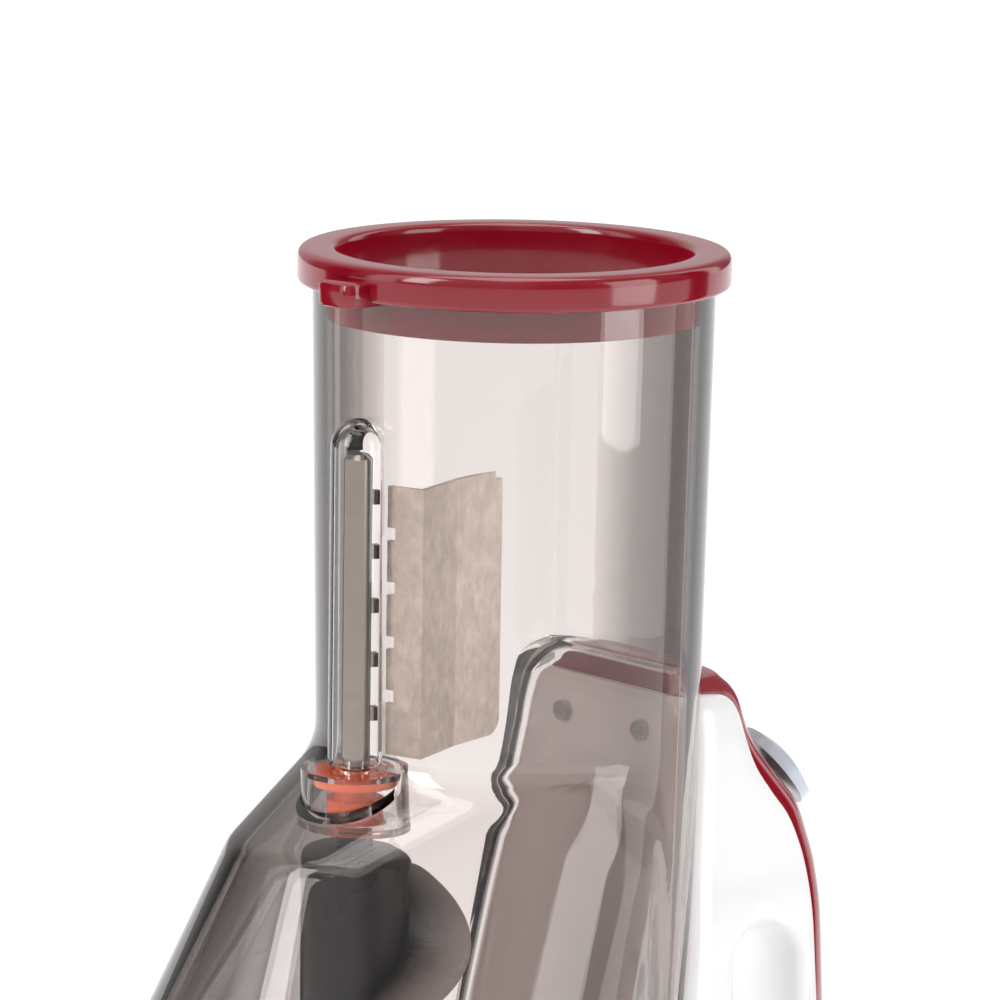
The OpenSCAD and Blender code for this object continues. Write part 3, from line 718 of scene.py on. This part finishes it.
def slab(x0, x1, y0, y1, z0, z1):
    """A box."""
    return loft([[(x0, y0, z), (x1, y0, z), (x1, y1, z), (x0, y1, z)] for z in (z0, z1)])


GRIP_Y, GRIP_R, GRIP_LOW, GRIP_HIGH = 98.5, 11.0, 205.0, 277.0


def grip_scoop(side, grow):
    """A finger recess that rolls in from the tower's side."""
    rings = []
    steps = ((4.2, -3.0), (2.8, -0.1), (1.6, 0.3), (0.6, 0.9), (0.0, 1.8), (-0.5, 3.0), (-1.4, 5.0),
             (-3.0, 6.8), (-5.2, 7.9), (-7.8, 8.3))
    for offset, depth in steps:
        r = GRIP_R + offset + grow
        ring = []
        for k in range(48):
            a = 2 * math.pi * k / 48
            z = (GRIP_HIGH if math.sin(a) >= 0 else GRIP_LOW) + r * math.sin(a)
            w = tower_profile(z)[0]
            x = w - depth - (grow if depth > 0 else -grow)
            ring.append((side * x, GRIP_Y + r * math.cos(a), z))
        rings.append(ring)
    return loft(rings)


def turned_rod(at, direction, r, reach, steps=48, back=0.0):
    """A rod from a place along a direction, all in millimetres about the auger axis."""
    d = Vector(direction).normalized()
    u = d.orthogonal().normalized()
    v = d.cross(u)
    rings = []
    for t in (-back, reach):
        c = Vector(at) + d * t
        rings.append([tuple(c + (u * math.cos(2 * math.pi * k / steps)
                                 + v * math.sin(2 * math.pi * k / steps)) * r)
                      for k in range(steps)])
    return loft(rings)


DECK = 128.0
SHELL_WALL = 3.0
COVER_WALL = 2.2
BASE_R, BASE_BACK_Y = 68.0, 84.0
PEG_X, PEG_Z, PEG_R = 13.4, 334.0, 2.45
CREASE = 38
SCREW_X, SCREW_Z, SCREW_SEAT_DEPTH = 12, 45, 0.9
SCREW_BORE, SCREW_HEAD_BORE = 1.85, 3.05
KNOB = (15.0, 117.0, 316.5)
KNOB_TILT, KNOB_TURN = math.radians(52), math.radians(19)


def make_tower():
    """The white tower: a shell with finger recesses and two plunger holes."""
    ob = new_object("tower_skin", *tower_loft(0, DECK + 0.05), "base", "tower_shell")
    inner = tool(*tower_loft(-SHELL_WALL, DECK - 2))
    for side in (-1, 1):
        cut(inner, tool(*grip_scoop(side, 2.0)))
    cut(ob, inner)
    cut(ob, tool(*joint_prism(0)), "INTERSECT")
    for side in (-1, 1):
        cut(ob, tool(*grip_scoop(side, 0.0)))
        cut(ob, tool(*turned_rod((side * PEG_X, 70, PEG_Z), (0, 1, 0), PEG_R, 20)))
    finish_mesh(ob, CREASE, MAT["white"])


def make_cover():
    """The red back cover, with the dial's hole and two screw seats."""
    ob = new_object("cover_skin", *tower_loft(0, 24.05), "base", "back_cover")
    cut(ob, tool(*tower_loft(-COVER_WALL, 20)))
    cut(ob, tool(*joint_prism(0.05)))
    cut(ob, tool(*slab(-90, 90, -90, 86, 0, 400)))
    tilt = (math.sin(KNOB_TILT) * math.sin(KNOB_TURN), math.sin(KNOB_TILT) * math.cos(KNOB_TURN),
            math.cos(KNOB_TILT))
    cut(ob, tool(*turned_rod(KNOB, tilt, 5.2, 20, back=20)))
    for side in (-1, 1):
        skin_y = BASE_BACK_Y + math.sqrt(BACK_R ** 2 - SCREW_X ** 2)
        seat = (side * SCREW_X, skin_y - SCREW_SEAT_DEPTH, SCREW_Z)
        cut(ob, tool(*turned_rod(seat, (0, 1, 0), SCREW_BORE, 15, back=15)))
        cut(ob, tool(*turned_rod(seat, (0, 1, 0), SCREW_HEAD_BORE, 6)))
    finish_mesh(ob, CREASE, MAT["cover"])


# ---------------------------------------------------------------- base
GLAND_Z, GLAND_BORE = 16, 6.05
BOSS_R, BOSS_BORE = 18, 14
POST_R, POST_BORE = 5, 1.85


def base_outline(e, count=120):
    """Plan of the base: two round ends and their common tangents, as one even ring."""
    r1, r2 = BASE_R + e, BACK_R + e
    a = math.asin((r1 - r2) / BASE_BACK_Y)
    front = [(r1 * math.cos(t), r1 * math.sin(t)) for t in np.linspace(math.pi - a, 2 * math.pi + a, 73)]
    back = [(r2 * math.cos(t), BASE_BACK_Y + r2 * math.sin(t)) for t in np.linspace(a, math.pi - a, 49)]
    return [(x, y) for x, y in even_ring(front + back, count, 1.0)]


def base_loft(e, z0):
    """The base's outer form, grown by e: a rolled foot, straight sides and a round shoulder."""
    top = DECK + e
    rings = []
    foot = ((1.2, 0.0), (0.35, 0.45), (0.0, 1.4)) if e == 0 else ((0.0, 0.0),)
    for inset, rise in foot:
        rings.append([(x, y, z0 + rise) for x, y in base_outline(e - inset)])
    for z in np.linspace(z0 + 12, top - 14, 8):
        rings.append([(x, y, z) for x, y in base_outline(e)])
    for k in range(13):
        t = math.radians(90 * k / 12)
        rings.append([(x, y, top - 12 + 12 * math.sin(t))
                      for x, y in base_outline(e - 10 * (1 - math.cos(t)))])
    return loft(rings)


FOOT_XY = ((-44, -34), (44, -34), (-34, 100), (34, 100))


def make_base():
    """The white base: shell, bowl boss, foot posts, and openings for cover, board and cord gland."""
    ob = new_object("base_skin", *base_loft(0, 4.0), "base", "base_shell")
    cut(ob, tool(*base_loft(-SHELL_WALL, 3.0)))
    cut(ob, tool(*rod(0, 0, BOSS_R, DECK - 5, DECK + 1.2)), "UNION")
    for x, y in FOOT_XY:
        cut(ob, tool(*rod(x, y, POST_R, 7, DECK - 2, 32)), "UNION")
        cut(ob, tool(*rod(x, y, POST_BORE, 3, 18, 24)))
    cut(ob, tool(*rod(0, 0, BOSS_BORE, DECK - 10, DECK + 10)))
    cut(ob, tool(*slab(-80, 80, 115, 200, 24, 160)))
    cut(ob, tool(*slab(-24, 24, 70, 110, DECK - 10, DECK + 10)))
    cut(ob, tool(*turned_rod((0, 127, GLAND_Z), (0, 1, 0), GLAND_BORE, 20)))
    finish_mesh(ob, CREASE, MAT["white"])


# ---------------------------------------------------------------- lid
RIM_Z = 237.0
LID_R = 64.0
NOSE_R, NOSE_Z, NOSE_ROUND = 30.0, 320.0, 6.0
CHUTE_TOP = 443.0
LID_WALL = 3.0
CHUTE_PROFILE = ((237, 34.0), (241, 40.0), (246, 43.0), (308, 44.5), (443, 46.5))
LID_BLEND = 5.0
BLEND_END_Y, BLEND_FADE = 62.0, 22.0
BACK_START_Y, BACK_START_Z, BACK_FADE = 50.0, 266.0, 14.0
LID_TURNS = 192
SPINE_LOW_Y, SPINE_Y, SPINE_Z = 8, 34.0, 300.0
LOW_CLIMB, HIGH_CLIMB = 12, 62
SHOULDER_R, SHOULDER_Z = 43.2, (308, 334)


def circle(x, y, r, z, steps=160):
    """A level ring of points."""
    return [(x + r * math.cos(2 * math.pi * k / steps), y + r * math.sin(2 * math.pi * k / steps), z)
            for k in range(steps)]


def lid_hull(e):
    """A ray tester for the lid's skirt and shoulder, shrunk by e."""
    points = circle(0, 0, LID_R - e, RIM_Z - (1 if e else 0)) + circle(0, 0, LID_R - e, RIM_Z + 4)
    core = NOSE_R - e - NOSE_ROUND
    for k in range(9):
        a = math.radians(90 * k / 8)
        points += circle(0, 0, core + NOSE_ROUND * math.cos(a),
                         NOSE_Z - e - NOSE_ROUND + NOSE_ROUND * math.sin(a))
    for z in (SHOULDER_Z[0], SHOULDER_Z[1] - e):
        points += circle(0, CHUTE_Y, SHOULDER_R - e, z)
    bm = bmesh.new()
    for p in points:
        bm.verts.new(p)
    hull = bmesh.ops.convex_hull(bm, input=bm.verts)
    loose = [v for v in hull["geom_interior"] if isinstance(v, bmesh.types.BMVert)]
    bmesh.ops.delete(bm, geom=loose, context="VERTS")
    tree = BVHTree.FromBMesh(bm)
    bm.free()
    return tree


def chute_reach(e, y, z, dx, dy, dz):
    """How far a ray from the spine travels to the chute's surface."""
    zs = [p[0] for p in CHUTE_PROFILE]
    rs = [p[1] - e for p in CHUTE_PROFILE]
    reach = 45.0
    flat = math.hypot(dx, dy)
    off = y - CHUTE_Y
    for _ in range(12):
        r = float(np.interp(z + reach * dz, zs, rs))
        b = off * dy
        gap = b * b - flat * flat * (off * off - r * r)
        if gap <= 0:
            return 0.0
        reach = 0.5 * reach + 0.5 * (-b + math.sqrt(gap)) / (flat * flat)
    return reach


def lid_rings(e):
    """Rings of the lid's outer form, shrunk by e, from the rim up to the chute's top."""
    tree = lid_hull(e)
    low = RIM_Z - (1 if e else 0)
    high = CHUTE_TOP + (1 if e else 0)
    stations = []
    for k in range(26):
        t = k / 25
        y = SPINE_LOW_Y + (SPINE_Y - SPINE_LOW_Y) * t
        stations.append((y, low + (SPINE_Z - low) * t, math.radians(LOW_CLIMB) * t))
    for k in range(1, 41):
        climb = LOW_CLIMB + (HIGH_CLIMB - LOW_CLIMB) * k / 40
        stations.append((SPINE_Y, SPINE_Z, math.radians(climb)))
    steep = math.tan(math.radians(HIGH_CLIMB))
    for k in range(1, 31):
        t = k / 30
        stations.append((SPINE_Y + (CHUTE_Y - SPINE_Y) * t, SPINE_Z + (high - SPINE_Z) * t,
                         math.atan(steep * (1 - t))))
    rings = []
    for y, z, climb in stations:
        ring = []
        for k in range(LID_TURNS):
            a = 2 * math.pi * k / LID_TURNS
            dx, dy = math.sin(a) * math.cos(climb), -math.cos(a) * math.cos(climb)
            dz = math.sin(climb)
            tube = chute_reach(e, y, z, dx, dy, dz)
            hit = tree.ray_cast(Vector((0, y, z)), Vector((dx, dy, dz)))
            skin = hit[3] if hit[0] is not None and hit[1].dot(Vector((dx, dy, dz))) > 0 else 0.0
            behind = min(max((y + dy * skin - BACK_START_Y) / BACK_FADE, 0.0), 1.0)
            above = min(max((z + dz * skin - BACK_START_Z) / BACK_FADE, 0.0), 1.0)
            skin -= behind * above * max(skin - tube, 0.0)
            front = min(max((BLEND_END_Y - y - dy * tube) / BLEND_FADE, 0.0), 1.0)
            near = front * max(LID_BLEND - abs(tube - skin), 0.0) / LID_BLEND
            reach = max(tube, skin) + near * near * LID_BLEND / 4
            if tube > skin:
                reach = tube + near * near * LID_BLEND / 4 * min(1.0, skin / 5)
            ring.append((dx * reach, y + dy * reach, z + dz * reach))
        rings.append(ring)
    rings[0] = [(x, y, low) for x, y, _ in rings[0]]
    rings[-1] = [(x, y, high) for x, y, _ in rings[-1]]
    return rings


POCKET_R, POCKET_BORE, POCKET_TOP = 6.4, 5.3, 415.0
CUP_R, CUP_DEPTH = 12.55, 15.0
AUGER_HOLE_R = 8.0
TOOTH_SLOT_HALF = 4.4
RECESS_GAP = 1.5
GASKET_R, GASKET_H = 60.8, 3.4


def dome_rod(r, z0, z1, steps=64):
    """A vertical rod on the auger axis with a round top."""
    rings = [circle(0, 0, r, z0, steps)]
    for k in range(13):
        a = math.radians(88 * k / 12)
        rings.append(circle(0, 0, r * math.cos(a), z1 - r + r * math.sin(a), steps))
    return loft(rings)


def make_lid():
    """The smoke lid: outer form and cutter pocket, hollowed, with the recess for the tower."""
    ob = new_object("lid_skin", *loft(lid_rings(0)), "lid", "chute_lid")
    cut(ob, tool(*dome_rod(POCKET_R, NOSE_Z - 6, POCKET_TOP)), "UNION")
    inner = tool(*loft(lid_rings(LID_WALL)))
    cut(inner, tool(*tower_loft(RECESS_GAP + LID_WALL, 200)))
    cut(ob, inner)
    cut(ob, tool(*tower_loft(RECESS_GAP, 200)))
    cut(ob, tool(*dome_rod(POCKET_BORE, NOSE_Z + CUP_DEPTH, POCKET_TOP - 1.4)))
    cut(ob, tool(*slab(-TOOTH_SLOT_HALF, TOOTH_SLOT_HALF, 0, 8, NOSE_Z + 16, POCKET_TOP - 8)))
    cut(ob, tool(*rod(0, 0, AUGER_HOLE_R, NOSE_Z - 20, NOSE_Z + CUP_DEPTH + 0.5, 64)))
    cut(ob, tool(*rod(0, 0, CUP_R, NOSE_Z - 0.5, NOSE_Z + CUP_DEPTH - 0.5, 64)))
    cut(ob, tool(*rod(0, 0, GASKET_R, RIM_Z - 3, RIM_Z + GASKET_H, 128)))
    finish_mesh(ob, 32, MAT["smoke"])


# ---------------------------------------------------------------- collar
COLLAR_TOP, COLLAR_R, COLLAR_BORE = 450.0, 50.0, 41.0


def make_collar():
    """The red collar with the thumb lug on its front."""
    top = COLLAR_TOP
    outline = [(COLLAR_BORE, top - 15.6), (43.1, top - 15.6), (43.1, top - 6.6), (46.8, top - 6.6),
               (46.8, top - 8), (COLLAR_R, top - 8), (COLLAR_R, top), (COLLAR_BORE, top)]
    profile = rounded(outline, [0.5, 0.5, 0.2, 0.2, 0.4, 1.2, 2.6, 2.0], 6)
    ob = new_object("collar_skin", *lathe(profile, 0, CHUTE_Y, 160), "collar", "collar_ring")
    lug = rounded([(-6, -5.2), (6, -5.2), (6, 6), (-6, 6)], [3.4, 3.4, 0.5, 0.5], 6)
    y = CHUTE_Y - COLLAR_R - 0.5
    rings = []
    for inset, z in ((1.2, top - 9.2), (0.3, top - 8.8), (0, top - 8), (0, top - 4.6), (0.3, top - 3.8),
                     (1.4, top - 3.3)):
        rings.append([(px * (6 - inset) / 6, y + py + inset * (0.7 if py < 0 else 0), z) for px, py in lug])
    cut(ob, tool(*loft(rings)), "UNION")
    finish_mesh(ob, 40, MAT["collar"])


# ---------------------------------------------------------------- auger
def flight(z0, height, turn0, twist, reach, shrink, half, slices):
    """One thread: a rounded bar that turns as it climbs."""
    bar = rounded([(2, -half), (reach, -half), (reach, half), (2, half)], [0, half * 0.8, half * 0.8, 0], 5)
    rings = []
    for k in range(slices + 1):
        t = k / slices
        a = math.radians(turn0 + twist * t)
        s = 1 + (shrink - 1) * t
        rings.append([(s * (x * math.cos(a) - y * math.sin(a)), s * (x * math.sin(a) + y * math.cos(a)),
                       z0 + height * t) for x, y in bar])
    return loft(rings)


AUGER_FOOT, AUGER_TIP, NECK_R = 159.6, 325.5, 12.2


def make_auger():
    """The auger: a turned core, the long thread and the feed wing on its neck."""
    core = rounded([(0.01, AUGER_FOOT), (18.5, AUGER_FOOT), (18.5, 165), (17, 167), (19.6, 237),
                    (20, 238), (NECK_R + 0.4, 262), (NECK_R, 264), (NECK_R, 314.5), (4, 315),
                    (3.9, AUGER_TIP), (0.01, AUGER_TIP)],
                   [0, 1, 1, 1, 0.5, 3, 3, 2, 2.2, 0.5, 0.6, 0], 5)
    ob = new_object("auger_skin", *lathe(core, 0, 0, 96), "screw", "auger")
    cut(ob, tool(*flight(164, 74, 0, 560, 31.5, 1.14, 3, 110)), "UNION")
    cut(ob, tool(*flight(268, 41, -87, 196, 36, 0.6, 2.4, 64)), "UNION")
    cut(ob, tool(*rod(0, 0, 7.05, 150, 200, 64)))
    finish_mesh(ob, CREASE, MAT["auger"])


for make in (make_tower, make_cover, make_base, make_lid, make_collar, make_auger):
    make()
